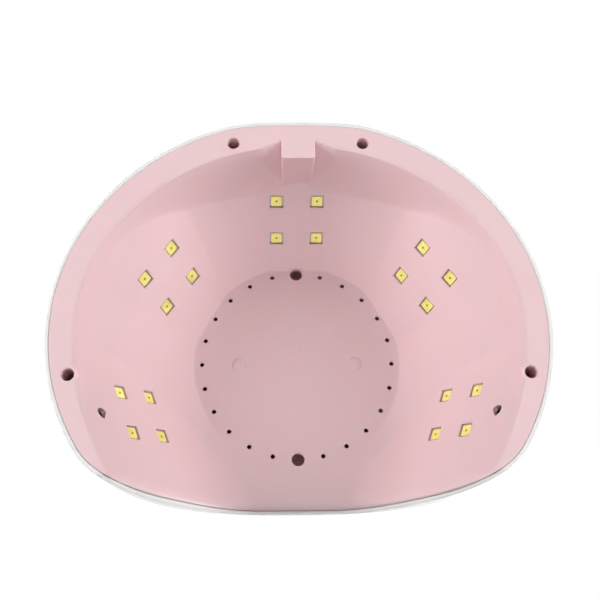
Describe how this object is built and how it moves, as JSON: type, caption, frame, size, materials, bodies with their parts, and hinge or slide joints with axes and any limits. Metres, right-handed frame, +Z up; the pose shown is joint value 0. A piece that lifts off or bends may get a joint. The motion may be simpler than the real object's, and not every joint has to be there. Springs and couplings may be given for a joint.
{
  "type": "uv led nail lamp",
  "caption": "Free-standing nail curing lamp: a domed housing over an open cavity lined with light panels, with timer buttons and a display on top.",
  "frame": {"origin": "middle of the box's bottom face, in the plane that the rim rests on", "axes": "+X to one side across the hand's way in, -Y out of the open front, +Z up"},
  "size_m": [0.2194, 0.1736, 0.0953],
  "materials": {
    "white_housing": "glossy moulded ABS, pearl white",
    "pink_housing": "satin moulded ABS, pale rose",
    "smoked_window": "polished smoked acrylic",
    "display": "black display block with a polished face",
    "button": "glossy moulded ABS, pale grey",
    "black_plastic": "fine matt moulded nylon",
    "circuit_board": "green solder mask over glass fibre",
    "chip": "matt epoxy",
    "capacitor_sleeve": "shrunk sleeve over aluminium",
    "ferrite": "pressed ferrite",
    "ivory_plastic": "plain moulded nylon",
    "bright_steel": "zinc plated steel",
    "black_steel": "black oxide over steel",
    "led_board": "white solder mask over aluminium",
    "led_package": "silicone over yellow phosphor",
    "clear_lens": "clear moulded epoxy",
    "dark_lens": "smoked moulded epoxy",
    "contact_brass": "brass spring contact",
    "red_lead": "soft PVC sleeve",
    "yellow_lead": "soft PVC sleeve",
    "black_lead": "soft PVC sleeve"
  },
  "bodies": {
    "housing": {"upper_housing": "white_housing", "lower_housing": "pink_housing", "display_window": "smoked_window", "display_module": "display", "switch_bodies": "black_plastic", "control_board": "circuit_board", "microcontroller": "chip", "driver_chips": "chip", "capacitors": "capacitor_sleeve", "inductors": "ferrite", "board_connectors": "ivory_plastic", "control_board_screws": "bright_steel", "led_board_rear": "led_board", "led_board_right_diagonal": "led_board", "led_board_left_diagonal": "led_board", "led_board_right_side": "led_board", "led_board_left_side": "led_board", "leds_rear": "led_package", "leds_right_diagonal": "led_package", "leds_left_diagonal": "led_package", "leds_right_side": "led_package", "leds_left_side": "led_package", "led_board_screws": "bright_steel", "ir_emitter": "clear_lens", "ir_receiver": "dark_lens", "dc_jack_body": "black_plastic", "dc_jack_pin": "contact_brass", "dc_jack_spring": "contact_brass", "rim_screws": "black_steel", "ceiling_screws": "black_steel", "led_leads": "red_lead", "sensor_leads": "yellow_lead", "power_leads": "black_lead"},
    "button_1": {"timer_button_1": "button", "switch_stem_1": "ivory_plastic"},
    "button_2": {"timer_button_2": "button", "switch_stem_2": "ivory_plastic"},
    "button_3": {"timer_button_3": "button", "switch_stem_3": "ivory_plastic"},
    "button_4": {"timer_button_4": "button", "switch_stem_4": "ivory_plastic"}
  },
  "joints": [
    {"name": "button_1_press", "type": "slide", "parent": "housing", "child": "button_1", "axis": [0, 0, -1], "range_m": [0, 0.0005], "stiffness_N_per_m": 2000},
    {"name": "button_2_press", "type": "slide", "parent": "housing", "child": "button_2", "axis": [0, 0, -1], "range_m": [0, 0.0005], "stiffness_N_per_m": 2000},
    {"name": "button_3_press", "type": "slide", "parent": "housing", "child": "button_3", "axis": [0, 0, -1], "range_m": [0, 0.0005], "stiffness_N_per_m": 2000},
    {"name": "button_4_press", "type": "slide", "parent": "housing", "child": "button_4", "axis": [0, 0, -1], "range_m": [0, 0.0005], "stiffness_N_per_m": 2000}
  ]
}
